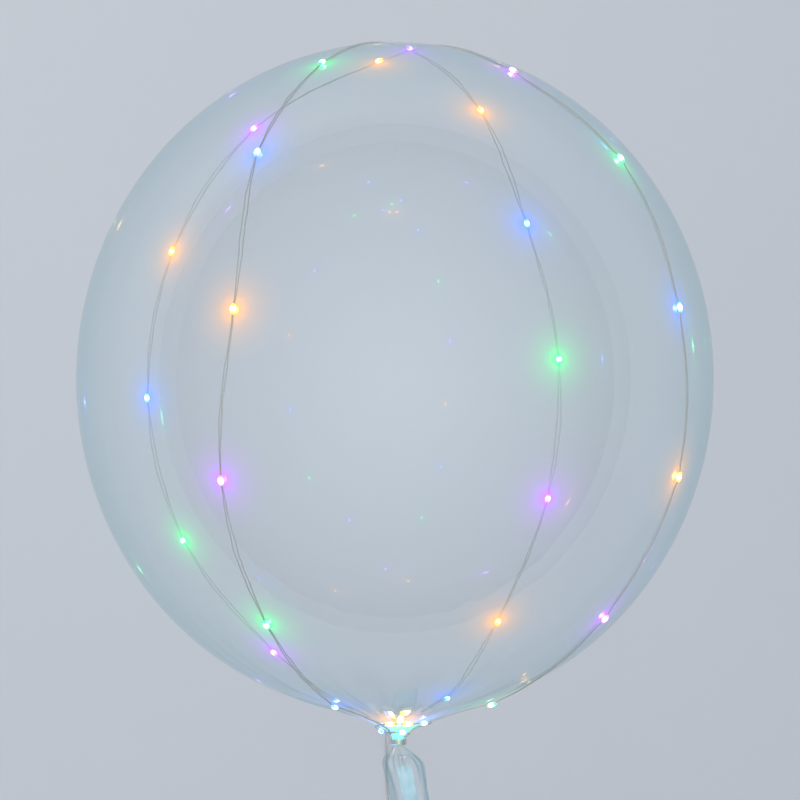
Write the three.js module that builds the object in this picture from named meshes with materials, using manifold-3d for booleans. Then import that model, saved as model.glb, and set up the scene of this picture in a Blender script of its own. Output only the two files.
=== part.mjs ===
// A clear bubble balloon lying on its side, wound with a string of micro lights.
//
// Millimetres. z = 0 is the floor that the balloon lies on, +Z is up, and +Y runs along the
// balloon's axis from the tied neck to the crown. The origin is on the floor, under the middle
// of the balloon's own box.

import * as THREE from 'three';
import { mergeVertices } from 'three/addons/utils/BufferGeometryUtils.js';
import Module from 'manifold-3d';

// ---------------------------------------------------------------- driving dimensions

// The inflated bubble: an egg of revolution about the Y axis.
const BUBBLE_RADIUS = 225;
const BUBBLE_HALF_LENGTH = 237.5;
const BUBBLE_CENTRE_Y = 50;
const REST_FLAT_DEPTH = 1.6; // how far the floor cuts into the bubble
const AXIS_HEIGHT = BUBBLE_RADIUS - REST_FLAT_DEPTH;
const BUBBLE_SEGMENTS = 48;
const BUBBLE_BANDS = 25;

// The gathered neck. Distances run from the bubble's centre towards the tail.
const FLARE_START = 229; // where the film leaves the egg and turns into the neck
const WAIST_START = 254;
const WAIST_END = 259;
const WAIST_RADIUS = 3.6;
const FLARE_POWER = 1.66;
const FLARE_BANDS = 6;
const NECK_LEAN = 2; // sideways offset of the waist
const PLEAT_START = 208;
const PLEAT_COUNT = 12;
const PLEAT_DEPTH = 0.16; // part of the radius, at the waist

// The tail sleeve, past the tie.
const TAIL_LENGTH = 80.5;
const TAIL_WALL = 0.8;
const TAIL_SEGMENTS = 24;
const TAIL_LEAN = 16; // how far the sleeve drifts sideways
const TAIL_LEAN_LENGTH = 48;
const TAIL_SHOULDER = 15; // distance over which the sleeve opens out from the tie
const TAIL_HALF_WIDTH = 14.4;
const TAIL_HALF_DEPTH = 10.2;
const TAIL_SOLID_LENGTH = 7; // the gathered film, before the sleeve is open inside
const VALVE = { width: 11, length: 56, thickness: 0.5, start: 14, height: 6.6 };

// Gap kept between touching pieces.
const GAP = 0.35;

// The string of lights.
const WIRE_RADIUS = 0.5;
const WIRE_SIDES = 6;
const WIRE_CLEARANCE = 1.9; // from the film to the wire's centre
const LOOP_STEPS = 66;
const LOOP_END_STATION = 177;
const LIGHT = { radius: 2.1, length: 6.5, hole: 1.3, flatness: 0.74, segments: 7 };

// Each loop of wire runs from the neck over the crown and back to the neck. A station is the
// angle from the crown, positive on the side that the heading points to, and the drift is how
// far the wire strays sideways there. Both are in degrees, one pair for each light. At the
// crown the second loop rides over the first by its hump, in millimetres.
const HUMP_SPREAD = 8; // degrees
const LOOPS = [
  {
    name: 'wire_loop_a',
    heading: -31.5,
    hump: 0,
    colours: 'BGPYBGPYBGPYB',
    lights: [
      [161.7, -0.9], [133.8, -0.2], [106.5, -0.2], [79.2, 3.1], [51, 0.1], [25.1, 0.1], [-7.7, -1.7],
      [-33.7, -0.8], [-60.3, -1.1], [-86.1, 1.8], [-112, 1.6], [-138.7, -0.6], [-164.5, 0.7],
    ],
  },
  {
    name: 'wire_loop_b',
    heading: 57,
    hump: 1.7,
    colours: 'GPYBGPYPYBGP',
    lights: [
      [163.8, 4.8], [133.7, 3.3], [106.4, 5.5], [78.4, 3.4], [50.8, 3.6], [27.1, -2.3], [-10.9, 11.1],
      [-38.9, 6.9], [-66.4, 3.8], [-93.2, 2.4], [-119.9, 3.5], [-147.2, 6.4],
    ],
  },
];

// The lights bunched at the knot: distance from the bubble's centre, and azimuth in degrees.
const KNOT_LIGHTS = [
  { distance: 240, azimuth: -10, colour: 'Y' },
  { distance: 240, azimuth: 15, colour: 'Y' },
  { distance: 240, azimuth: 40, colour: 'B' },
  { distance: 247.5, azimuth: 15, colour: 'G' },
  { distance: 247.5, azimuth: -80, colour: 'B' },
];

// The wire's turns round the waist, which hold the neck shut.
const WRAP = { turns: 4, inner: 4.7, outer: 6.1, start: 254.3, end: 259, segments: 12 };

// The lead from the knot to the battery case, and the coil of its spare length. The route's
// points are in the part's own frame.
const LEAD_DIAMETER = 1;
const LEAD_STEPS = 50;
const LEAD_ROUTE = [
  [-1.8, -206, 216.6],
  [-2.2, -206.1, 210],
  [-3.4, -206.6, 196],
  [-5, -207.6, 168],
  [-6.2, -208.8, 130],
  [-7, -210, 90],
  [-7.3, -211.2, 55],
  [-7.3, -213, 30],
  [-7.3, -217, 13],
  [-7.3, -225, 3.8],
  [-7.3, -236, 0.9],
  [-7.3, -248, 0.62],
  [-6.9, -262, 0.62],
  [-5.2, -276, 0.62],
  [-3.2, -283.6, 0.62],
];
const COIL = { x: -8.9, y: -289.5, midRadius: 5.7, bundle: 1.65, segments: 20 };
const LEAD_END_ROUTE = [
  [-2.2, -294.3, 2.3],
  [-2.3, -296.4, 2.5],
  [-2.8, -298.6, 2.9],
  [-3.3, -300.7, 3.25],
  [-3.5, -302.8, 3.4],
];

// The battery case, lying on the floor.
const CASE = { x: -3.5, y: -329.5, length: 62, width: 38, height: 15, wall: 1.8, corner: 3.5 };
const CASE_LID = { thickness: 1.8, ribs: 5, ribHeight: 0.5, ribLength: 16, ribWidth: 1.2, ribPitch: 2.6 };
const SWITCH = { length: 6, width: 3.4, height: 1.3, slot: 10, inset: 9 };
const GLAND = { radius: 2.2, tip: 1.35, length: 7, height: 3.4, segments: 12 };

// ---------------------------------------------------------------- finishes

const finish = (color, roughness, metalness = 0, extra = {}) =>
  new THREE.MeshStandardMaterial({ color, roughness, metalness, ...extra });

const FILM = finish(0xdfeef5, 0.05, 0, { transparent: true, opacity: 0.25 });
const VALVE_FILM = finish(0x9fd4e6, 0.25, 0, { transparent: true, opacity: 0.6 });
const WIRE = finish(0xc8b48c, 0.35, 0.8);
const CASE_PLASTIC = finish(0xe9ecee, 0.4);
const SWITCH_PLASTIC = finish(0x2b2d30, 0.5);
const LIGHT_GLOW = {
  B: finish(0x6fa8ff, 0.2, 0, { emissive: 0x3f7bff }),
  G: finish(0x5cf0a0, 0.2, 0, { emissive: 0x10d060 }),
  P: finish(0xc890ff, 0.2, 0, { emissive: 0x9040ff }),
  Y: finish(0xffc860, 0.2, 0, { emissive: 0xffa010 }),
};

// ---------------------------------------------------------------- shared helpers

const wasm = await Module();
wasm.setup();

const { clamp, degToRad, lerp, smoothstep } = THREE.MathUtils;

const object = new THREE.Group();

function add(name, geometry, material, matrix) {
  const mesh = new THREE.Mesh(geometry, material);
  mesh.name = name;
  if (matrix) mesh.applyMatrix4(matrix);
  object.add(mesh);
  return mesh;
}

// A closed mesh as a solid that can be cut and joined.
function toSolid(geometry) {
  const bare = new THREE.BufferGeometry();
  const source = geometry.index ? geometry.toNonIndexed() : geometry;
  bare.setAttribute('position', source.getAttribute('position'));
  const merged = mergeVertices(bare, 1e-4);
  const corners = merged.index.array;
  const faces = [];
  for (let i = 0; i < corners.length; i += 3) {
    const [a, b, c] = [corners[i], corners[i + 1], corners[i + 2]];
    if (a !== b && b !== c && c !== a) faces.push(a, b, c);
  }
  return new wasm.Manifold(
    new wasm.Mesh({
      numProp: 3,
      vertProperties: merged.attributes.position.array,
      triVerts: new Uint32Array(faces),
    }),
  );
}

function toGeometry(solid) {
  const mesh = solid.getMesh();
  const geometry = new THREE.BufferGeometry();
  geometry.setAttribute('position', new THREE.Float32BufferAttribute(mesh.vertProperties, 3));
  geometry.setIndex([...mesh.triVerts]);
  return geometry;
}

// Moves every vertex of a geometry by a function of its place.
function reshape(geometry, move) {
  const place = geometry.getAttribute('position');
  const point = new THREE.Vector3();
  for (let i = 0; i < place.count; i += 1) {
    point.fromBufferAttribute(place, i);
    move(point);
    place.setXYZ(i, point.x, point.y, point.z);
  }
  return geometry;
}

function tube(curve, steps, radius, sides) {
  const section = new THREE.Shape();
  for (let i = 0; i < sides; i += 1) {
    const angle = (i / sides) * 2 * Math.PI;
    const [x, y] = [radius * Math.cos(angle), radius * Math.sin(angle)];
    if (i === 0) section.moveTo(x, y);
    else section.lineTo(x, y);
  }
  return new THREE.ExtrudeGeometry(section, { steps, extrudePath: curve, curveSegments: 1 });
}

function roundedRectangle(length, width, radius) {
  const [x, y] = [length / 2, width / 2];
  const shape = new THREE.Shape();
  shape.moveTo(-x + radius, -y);
  shape.lineTo(x - radius, -y);
  shape.absarc(x - radius, -y + radius, radius, -Math.PI / 2, 0);
  shape.lineTo(x, y - radius);
  shape.absarc(x - radius, y - radius, radius, 0, Math.PI / 2);
  shape.lineTo(-x + radius, y);
  shape.absarc(-x + radius, y - radius, radius, Math.PI / 2, Math.PI);
  shape.lineTo(-x, -y + radius);
  shape.absarc(-x + radius, -y + radius, radius, Math.PI, 1.5 * Math.PI);
  return shape;
}

const slab = (shape, height) =>
  new THREE.ExtrudeGeometry(shape, { depth: height, bevelEnabled: false, curveSegments: 3 });

// ---------------------------------------------------------------- the film's shape

const eggRadius = (distance) =>
  BUBBLE_RADIUS * Math.sqrt(Math.max(1 - (distance / BUBBLE_HALF_LENGTH) ** 2, 0));

// The film's mean radius at a distance from the bubble's centre: the egg, then a hollow curve
// that leaves it at the same slope and runs into the waist.
function filmRadius(distance) {
  if (distance < FLARE_START) return eggRadius(distance);
  const along = Math.min((distance - FLARE_START) / (WAIST_START - FLARE_START), 1);
  return WAIST_RADIUS + (eggRadius(FLARE_START) - WAIST_RADIUS) * (1 - along) ** FLARE_POWER;
}

const pleatSize = (distance) => PLEAT_DEPTH * smoothstep(distance, PLEAT_START, WAIST_START);

const neckLean = (distance) => NECK_LEAN * smoothstep(distance, PLEAT_START, WAIST_START);

// Places a point of the bubble's own frame, whose centre is the egg's centre.
const placeBubble = new THREE.Matrix4().makeTranslation(0, BUBBLE_CENTRE_Y, AXIS_HEIGHT);

function bubble() {
  const profile = [new THREE.Vector2(0, -WAIST_END), new THREE.Vector2(WAIST_RADIUS, -WAIST_END)];
  for (let i = 0; i < FLARE_BANDS; i += 1) {
    const distance = lerp(WAIST_START, FLARE_START, i / FLARE_BANDS);
    profile.push(new THREE.Vector2(filmRadius(distance), -distance));
  }
  const flareAngle = Math.acos(FLARE_START / BUBBLE_HALF_LENGTH);
  for (let i = 0; i < BUBBLE_BANDS; i += 1) {
    const angle = lerp(flareAngle, Math.PI, i / BUBBLE_BANDS);
    const distance = BUBBLE_HALF_LENGTH * Math.cos(angle);
    profile.push(new THREE.Vector2(eggRadius(distance), -distance));
  }
  profile.push(new THREE.Vector2(0, BUBBLE_HALF_LENGTH));

  const skin = reshape(new THREE.LatheGeometry(profile, BUBBLE_SEGMENTS), (point) => {
    const distance = -point.y;
    const azimuth = Math.atan2(point.x, point.z);
    const swell = 1 + pleatSize(distance) * Math.cos(PLEAT_COUNT * azimuth);
    point.x = point.x * swell + neckLean(distance);
    point.z *= swell;
  });

  const floor = new THREE.BoxGeometry(4 * BUBBLE_RADIUS, 4 * BUBBLE_RADIUS, BUBBLE_RADIUS);
  floor.translate(0, 0, -AXIS_HEIGHT - BUBBLE_RADIUS / 2);
  return toGeometry(toSolid(skin).subtract(toSolid(floor)));
}

// ---------------------------------------------------------------- the tail sleeve

// Distances in the sleeve run from the tie to the open mouth.
const tailLean = (along) => NECK_LEAN + TAIL_LEAN * (1 - Math.exp(-along / TAIL_LEAN_LENGTH));

function tailSize(along) {
  const open = Math.sin((Math.PI / 2) * Math.min(along / TAIL_SHOULDER, 1)) ** 1.3;
  const slack = 1 - 0.07 * Math.sin((Math.PI * along) / TAIL_LENGTH) * open;
  return {
    halfWidth: lerp(WAIST_RADIUS, TAIL_HALF_WIDTH, open) * slack,
    halfDepth: lerp(WAIST_RADIUS, TAIL_HALF_DEPTH, open) * slack,
  };
}

function tailSleeve() {
  const stops = [0, 2.5, 5, 8, 11, 15, 26, 40, 54, 68, TAIL_LENGTH];
  const innerStops = stops.filter((along) => along > TAIL_SOLID_LENGTH).reverse();
  const outer = stops.map((along) => new THREE.Vector2(tailSize(along).halfWidth, -along));
  const inner = innerStops.map((along) => new THREE.Vector2(tailSize(along).halfWidth - TAIL_WALL, -along));
  const axisStart = new THREE.Vector2(0, 0);
  const axisEnd = new THREE.Vector2(0, -TAIL_SOLID_LENGTH);
  const profile = [axisStart, ...outer, ...inner, axisEnd].reverse();

  return reshape(new THREE.LatheGeometry(profile, TAIL_SEGMENTS), (point) => {
    const along = -point.y;
    const { halfWidth, halfDepth } = tailSize(along);
    const inset = Math.min(halfWidth - Math.hypot(point.x, point.z), halfDepth);
    const depthScale = (halfDepth - inset) / Math.max(halfWidth - inset, 1e-6);
    point.x += tailLean(along);
    point.z *= depthScale;
  });
}

function valveStrip() {
  const { width, length, thickness, start, height } = VALVE;
  const strip = new THREE.BoxGeometry(width, length, thickness, 1, 8, 1);
  strip.translate(0, -start - length / 2, height);
  return reshape(strip, (point) => {
    point.x += tailLean(-point.y);
  });
}

// ---------------------------------------------------------------- the string of lights

// A place on the film, from its angle off the crown and its azimuth about the neck's axis,
// with the film's outward normal there. Past the flare's start the angle runs on linearly.
function onFilm(angle, azimuth, lift) {
  const flareAngle = Math.PI - Math.acos(FLARE_START / BUBBLE_HALF_LENGTH);
  const distanceAt = (a) =>
    a < flareAngle
      ? -BUBBLE_HALF_LENGTH * Math.cos(a)
      : lerp(FLARE_START, WAIST_START, (a - flareAngle) / (Math.PI - flareAngle));
  const radiusAt = (a) => filmRadius(distanceAt(a)) * (1 + pleatSize(distanceAt(a)));
  const step = 1e-3;
  const [before, after] = [Math.max(angle - step, 0), Math.min(angle + step, Math.PI)];
  const alongRadius = radiusAt(after) - radiusAt(before);
  const alongDistance = distanceAt(after) - distanceAt(before);
  const size = Math.hypot(alongRadius, alongDistance);
  const outward = { radius: alongDistance / size, distance: -alongRadius / size };
  const distance = distanceAt(angle) + lift * outward.distance;
  const radius = radiusAt(angle) + lift * outward.radius;
  const radial = new THREE.Vector3(Math.sin(azimuth), 0, Math.cos(azimuth));
  const point = radial.clone().multiplyScalar(radius);
  point.x += neckLean(distance);
  point.y = -distance;
  const normal = radial.clone().multiplyScalar(outward.radius);
  normal.y = -outward.distance;
  return { point, normal };
}

// A wire's route over the film: a smooth line through its lights' stations and drifts.
class LoopRoute extends THREE.Curve {
  constructor({ heading, hump, lights }) {
    super();
    this.heading = degToRad(heading);
    this.hump = hump;
    const ends = [[LOOP_END_STATION, 0], ...lights, [-LOOP_END_STATION, 0]];
    const points = ends.map(([station, drift]) => new THREE.Vector3(degToRad(station), degToRad(drift), 0));
    this.plan = new THREE.CatmullRomCurve3(points, false, 'centripetal');
  }

  place(station, drift) {
    const forward = Math.cos(drift) * Math.sin(station);
    const up = Math.cos(drift) * Math.cos(station);
    const side = Math.sin(drift);
    const x = forward * Math.sin(this.heading) + side * Math.cos(this.heading);
    const z = forward * Math.cos(this.heading) - side * Math.sin(this.heading);
    const lift = WIRE_CLEARANCE + this.hump * Math.exp(-((station / degToRad(HUMP_SPREAD)) ** 2));
    return onFilm(Math.acos(clamp(up, -1, 1)), Math.atan2(x, z), lift);
  }

  getPoint(t, target = new THREE.Vector3()) {
    const at = this.plan.getPoint(t);
    return target.copy(this.place(at.x, at.y).point);
  }
}

// One light: a drop of clear resin, threaded on the wire, with its flat side to the film.
function lightDrop() {
  const { radius, length, hole, flatness, segments } = LIGHT;
  const half = length / 2;
  const profile = [
    new THREE.Vector2(hole, -half),
    new THREE.Vector2(radius * 0.82, -half * 0.72),
    new THREE.Vector2(radius, 0),
    new THREE.Vector2(radius * 0.82, half * 0.72),
    new THREE.Vector2(hole, half),
    new THREE.Vector2(hole, -half),
  ];
  return new THREE.LatheGeometry(profile, segments).scale(1, 1, flatness);
}

// Stands a drop at a point, along the wire and flat on the film.
function dropMatrix(point, along, normal) {
  const side = new THREE.Vector3().crossVectors(along, normal).normalize();
  const out = new THREE.Vector3().crossVectors(side, along).normalize();
  const turn = new THREE.Matrix4().makeBasis(side, along, out);
  return placeBubble.clone().multiply(turn.setPosition(point));
}

function lightNumber(number) {
  return `light_${String(number).padStart(2, '0')}`;
}

function lightsOf(loop, route, first) {
  loop.lights.forEach(([station, drift], i) => {
    const { point, normal } = route.place(degToRad(station), degToRad(drift));
    const along = route.getTangent((i + 1) / (loop.lights.length + 1));
    const colour = LIGHT_GLOW[loop.colours[i]];
    add(lightNumber(first + i), lightDrop(), colour, dropMatrix(point, along, normal));
  });
  return first + loop.lights.length;
}

function knotLights(first) {
  const flareAngle = Math.PI - Math.acos(FLARE_START / BUBBLE_HALF_LENGTH);
  KNOT_LIGHTS.forEach(({ distance, azimuth, colour }, i) => {
    const share = (distance - FLARE_START) / (WAIST_START - FLARE_START);
    const turn = degToRad(azimuth);
    const { point, normal } = onFilm(lerp(flareAngle, Math.PI, share), turn, WIRE_CLEARANCE);
    const along = new THREE.Vector3(Math.cos(turn), 0, -Math.sin(turn));
    add(lightNumber(first + i), lightDrop(), LIGHT_GLOW[colour], dropMatrix(point, along, normal));
  });
}

// The turns of wire round the waist: a ring whose outside is one ridge for each turn.
function wireWraps() {
  const { turns, inner, outer, start, end, segments } = WRAP;
  const pitch = (end - start) / turns;
  const profile = [new THREE.Vector2(inner, -end)];
  for (let i = 0; i < turns; i += 1) {
    const low = -end + i * pitch;
    profile.push(new THREE.Vector2(outer - 0.5, low + 0.1 * pitch));
    profile.push(new THREE.Vector2(outer, low + 0.5 * pitch));
    profile.push(new THREE.Vector2(outer - 0.5, low + 0.9 * pitch));
  }
  profile.push(new THREE.Vector2(inner, -start), new THREE.Vector2(inner, -end));
  return new THREE.LatheGeometry(profile, segments).translate(NECK_LEAN, 0, 0);
}

// ---------------------------------------------------------------- the lead and battery case

const routeCurve = (points) =>
  new THREE.CatmullRomCurve3(points.map((point) => new THREE.Vector3(...point)), false, 'centripetal');

function leadCoil() {
  const { x, y, midRadius, bundle, segments } = COIL;
  const profile = [];
  for (let i = 0; i <= 8; i += 1) {
    const angle = (i / 8) * 2 * Math.PI;
    profile.push(new THREE.Vector2(midRadius + bundle * Math.cos(angle), bundle * (1 + Math.sin(angle))));
  }
  return new THREE.LatheGeometry(profile, segments).rotateX(Math.PI / 2).translate(x, y, 0);
}

const placeCase = (geometry, height) => geometry.translate(CASE.x, CASE.y, height);

function batteryCase() {
  const { length, width, height, wall, corner } = CASE;
  const bodyHeight = height - CASE_LID.thickness - GAP;
  const block = toSolid(slab(roundedRectangle(length, width, corner), bodyHeight));
  const room = slab(roundedRectangle(length - 2 * wall, width - 2 * wall, corner - wall), bodyHeight);
  return placeCase(toGeometry(block.subtract(toSolid(room.translate(0, 0, wall)))), 0);
}

function batteryLid() {
  const { length, width, height, corner } = CASE;
  const { thickness, ribs, ribHeight, ribLength, ribWidth, ribPitch } = CASE_LID;
  let lid = toSolid(slab(roundedRectangle(length, width, corner), thickness));
  for (let i = 0; i < ribs; i += 1) {
    const rib = new THREE.BoxGeometry(ribWidth, ribLength, 2 * ribHeight);
    rib.translate(-length / 2 + 8 + i * ribPitch, 0, thickness);
    lid = lid.add(toSolid(rib));
  }
  const slot = new THREE.BoxGeometry(SWITCH.slot, SWITCH.width + 2 * GAP, thickness);
  slot.translate(length / 2 - SWITCH.inset, 0, thickness);
  return placeCase(toGeometry(lid.subtract(toSolid(slot))), height - thickness);
}

function batterySwitch() {
  const knob = new THREE.BoxGeometry(SWITCH.length, SWITCH.width, SWITCH.height);
  const floor = CASE.height - CASE_LID.thickness / 2 + GAP;
  const shift = (SWITCH.slot - SWITCH.length) / 2 - GAP;
  knob.translate(CASE.length / 2 - SWITCH.inset + shift, 0, SWITCH.height / 2);
  return placeCase(knob, floor);
}

function leadGland() {
  const { radius, tip, length, height, segments } = GLAND;
  const profile = [
    new THREE.Vector2(0, 0),
    new THREE.Vector2(radius, 0),
    new THREE.Vector2(radius, length * 0.35),
    new THREE.Vector2(tip, length),
    new THREE.Vector2(0, length),
  ];
  const gland = new THREE.LatheGeometry(profile, segments);
  return gland.translate(CASE.x, CASE.y + CASE.width / 2 + GAP, height);
}

// ---------------------------------------------------------------- the whole object

add('bubble', bubble(), FILM, placeBubble);

const tieY = BUBBLE_CENTRE_Y - WAIST_END - GAP;
const placeTail = new THREE.Matrix4().makeTranslation(0, tieY, AXIS_HEIGHT);
add('tail_sleeve', tailSleeve(), FILM, placeTail);
add('valve_strip', valveStrip(), VALVE_FILM, placeTail);

add('wire_wraps', wireWraps(), WIRE, placeBubble);
let nextLight = 1;
for (const loop of LOOPS) {
  const route = new LoopRoute(loop);
  add(loop.name, tube(route, LOOP_STEPS, WIRE_RADIUS, WIRE_SIDES), WIRE, placeBubble);
  nextLight = lightsOf(loop, route, nextLight);
}
knotLights(nextLight);

add('lead_wire', tube(routeCurve(LEAD_ROUTE), LEAD_STEPS, LEAD_DIAMETER / 2, 8), WIRE);
add('lead_coil', leadCoil(), WIRE);
add('lead_wire_end', tube(routeCurve(LEAD_END_ROUTE), 8, LEAD_DIAMETER / 2, 8), WIRE);
add('lead_gland', leadGland(), CASE_PLASTIC);
add('battery_case', batteryCase(), CASE_PLASTIC);
add('battery_lid', batteryLid(), CASE_PLASTIC);
add('battery_switch', batterySwitch(), SWITCH_PLASTIC);

export default object;
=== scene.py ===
"""Looks of a clear bubble balloon that lies on its side, wound with a string of micro lights.

Metres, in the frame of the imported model: +Z is up, z = 0 is the floor, and +Y runs from the
tied neck to the crown.
"""

import logging
import math
from dataclasses import dataclass, field
from enum import Enum
from typing import Any, Sequence

import bpy
import numpy as np
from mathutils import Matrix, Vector


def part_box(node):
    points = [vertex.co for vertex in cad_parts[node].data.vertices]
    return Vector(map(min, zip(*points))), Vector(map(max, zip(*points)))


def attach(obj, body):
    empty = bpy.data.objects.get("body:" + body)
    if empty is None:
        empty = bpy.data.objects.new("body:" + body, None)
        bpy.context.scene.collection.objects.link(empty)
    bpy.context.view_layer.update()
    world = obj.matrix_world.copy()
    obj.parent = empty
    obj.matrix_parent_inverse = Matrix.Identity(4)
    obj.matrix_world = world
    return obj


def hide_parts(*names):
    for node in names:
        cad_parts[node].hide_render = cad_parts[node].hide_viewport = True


Array = np.ndarray
Colour = tuple[float, float, float]

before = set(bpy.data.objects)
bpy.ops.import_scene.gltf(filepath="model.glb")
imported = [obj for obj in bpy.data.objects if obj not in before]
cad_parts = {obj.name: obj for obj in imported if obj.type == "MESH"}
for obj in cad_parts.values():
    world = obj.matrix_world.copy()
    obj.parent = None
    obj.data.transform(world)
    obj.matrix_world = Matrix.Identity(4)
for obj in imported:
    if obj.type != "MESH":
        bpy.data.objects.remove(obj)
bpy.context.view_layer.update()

log = logging.getLogger("balloon")

MM = 0.001
BODY = "root"


# ------------------------------------------------------------------ numbers and curves


def unit(vectors: Array) -> Array:
    """Scale each vector of an array to length one."""
    return vectors / np.maximum(np.linalg.norm(vectors, axis=-1, keepdims=True), 1e-12)


def ease(value: Array, start: float, end: float) -> Array:
    """Run smoothly from 0 at start to 1 at end: 3 t squared less 2 t cubed."""
    t = np.clip((value - start) / (end - start), 0.0, 1.0)
    return t * t * (3.0 - 2.0 * t)


def hill(offset: Array, spread: float) -> Array:
    """Give a bell curve: 1 where the offset is 0, falling off over the spread."""
    return np.exp(-((offset / spread) ** 2))


def smooth_line(points: Array, count: int) -> tuple[Array, Array]:
    """Run one smooth line through points.

    A cubic goes from each point to the next. Its slope at a point is the mean of the slopes to
    both neighbours, weighted by the square root of their distances.

    Args:
        points: the points, one per row.
        count: how many places to give, evenly spread in the line's own parameter.

    Returns:
        The places on the line, and for each its position in the list of points.
    """
    steps = np.sqrt(np.linalg.norm(np.diff(points, axis=0), axis=1))
    slopes = np.diff(points, axis=0) / steps[:, None]
    inner = (steps[:-1, None] * slopes[1:] + steps[1:, None] * slopes[:-1]) / (
        steps[:-1, None] + steps[1:, None]
    )
    tangents = np.concatenate([slopes[:1], inner, slopes[-1:]])
    knots = np.concatenate([[0.0], np.cumsum(steps)])
    at = np.linspace(0.0, knots[-1], count)
    i = np.clip(np.searchsorted(knots, at, side="right") - 1, 0, len(steps) - 1)
    h = steps[i][:, None]
    t = ((at - knots[i]) / steps[i])[:, None]
    line = (
        (2 * t**3 - 3 * t**2 + 1) * points[i]
        + (t**3 - 2 * t**2 + t) * h * tangents[i]
        + (3 * t**2 - 2 * t**3) * points[i + 1]
        + (t**3 - t**2) * h * tangents[i + 1]
    )
    return line, i + t[:, 0]


def run_length(line: Array) -> Array:
    """Give the distance along a line at each of its points."""
    return np.concatenate([[0.0], np.cumsum(np.linalg.norm(np.diff(line, axis=0), axis=1))])


# ------------------------------------------------------------------ surfaces


@dataclass
class Surface:
    """A closed surface: its points, its faces, and values that vary over its points."""

    points: Array
    quads: Array
    tris: Array
    layers: dict[str, Array] = field(default_factory=dict)

    def turned_out(self) -> "Surface":
        """Turn every face round if the surface holds a negative volume."""
        tris = np.concatenate([self.tris, self.quads[:, [0, 1, 2]], self.quads[:, [0, 2, 3]]])
        a, b, c = (self.points[tris[:, k]] for k in range(3))
        if np.einsum("ij,ij->i", a, np.cross(b, c)).sum() < 0:
            self.quads = self.quads[:, ::-1]
            self.tris = self.tris[:, ::-1]
        return self


def closed_grid(rings: Array, layers: dict[str, Array] | None = None) -> Surface:
    """Make a closed surface of rings, with a fan of triangles over the first and the last.

    Args:
        rings: places of shape (rows, around, 3), where each row closes on itself.
        layers: values of shape (rows, around) or (rows, around, channels), by name.

    Returns:
        The surface, with its faces turned outwards.
    """
    rows, around = rings.shape[:2]
    row = np.arange(rows - 1)[:, None] * around
    here = np.arange(around)[None, :]
    after = (here + 1) % around
    quads = np.stack([row + here, row + after, row + around + after, row + around + here], -1)
    first, last = rows * around, rows * around + 1
    ring, following = here[0], after[0]
    base = (rows - 1) * around
    tris = np.concatenate([
        np.stack([np.full(around, first), following, ring], -1),
        np.stack([np.full(around, last), base + ring, base + following], -1),
    ])
    points = np.concatenate([rings.reshape(-1, 3), rings[[0, -1]].mean(axis=1)])
    spread_layers = {
        name: np.concatenate([
            value.reshape(rows * around, -1),
            value[[0, -1]].mean(axis=1).reshape(2, -1),
        ])
        for name, value in (layers or {}).items()
    }
    return Surface(points, quads.reshape(-1, 4), tris, spread_layers).turned_out()


def tube(
    line: Array, side: Array, up: Array, half_width: Any, half_height: Any, around: int = 8
) -> Surface:
    """Carry an ellipse along a line.

    A point of ring i at turn a is line_i + cos(a) width_i side_i + sin(a) height_i up_i.

    Args:
        line: the centreline's points.
        side: unit vectors across the line.
        up: unit vectors across the line and square to side.
        half_width: half the ellipse's size along side, one number or one for each point.
        half_height: half its size along up.
        around: how many points each ring has.

    Returns:
        The closed tube.
    """
    turn = np.arange(around) * (2 * math.pi / around)
    width = np.broadcast_to(half_width, len(line))[:, None, None]
    height = np.broadcast_to(half_height, len(line))[:, None, None]
    across = np.cos(turn)[None, :, None] * width * side[:, None, :]
    above = np.sin(turn)[None, :, None] * height * up[:, None, :]
    return closed_grid(line[:, None, :] + across + above)


def joined(surfaces: Sequence[Surface]) -> Surface:
    """Put several surfaces into one, keeping the layers that all of them have."""
    starts = np.cumsum([0] + [len(s.points) for s in surfaces[:-1]])
    names = set.intersection(*(set(s.layers) for s in surfaces))
    return Surface(
        np.concatenate([s.points for s in surfaces]),
        np.concatenate([s.quads + n for s, n in zip(surfaces, starts)]),
        np.concatenate([s.tris + n for s, n in zip(surfaces, starts)]),
        {name: np.concatenate([s.layers[name] for s in surfaces]) for name in names},
    )


def make_piece(name: str, surface: Surface, material: bpy.types.Material) -> bpy.types.Object:
    """Put a surface into the scene as a piece of the object that rides on its body.

    Args:
        name: the piece's name.
        surface: its shape, in the model's frame.
        material: its finish.

    Returns:
        The new object.
    """
    mesh = bpy.data.meshes.new(name)
    mesh.from_pydata(surface.points.tolist(), [], surface.quads.tolist() + surface.tris.tolist())
    for layer, values in surface.layers.items():
        kind, slot = ("FLOAT", "value") if values.shape[1] == 1 else ("FLOAT_COLOR", "color")
        attribute = mesh.attributes.new(layer, kind, "POINT")
        attribute.data.foreach_set(slot, values.astype(np.float32).ravel())
    mesh.shade_smooth()
    mesh.materials.append(material)
    mesh.validate()
    piece = bpy.data.objects.new(name, mesh)
    bpy.context.scene.collection.objects.link(piece)
    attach(piece, BODY)
    log.info("%s: %d points", name, len(surface.points))
    return piece


# ------------------------------------------------------------------ shader graphs


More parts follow.
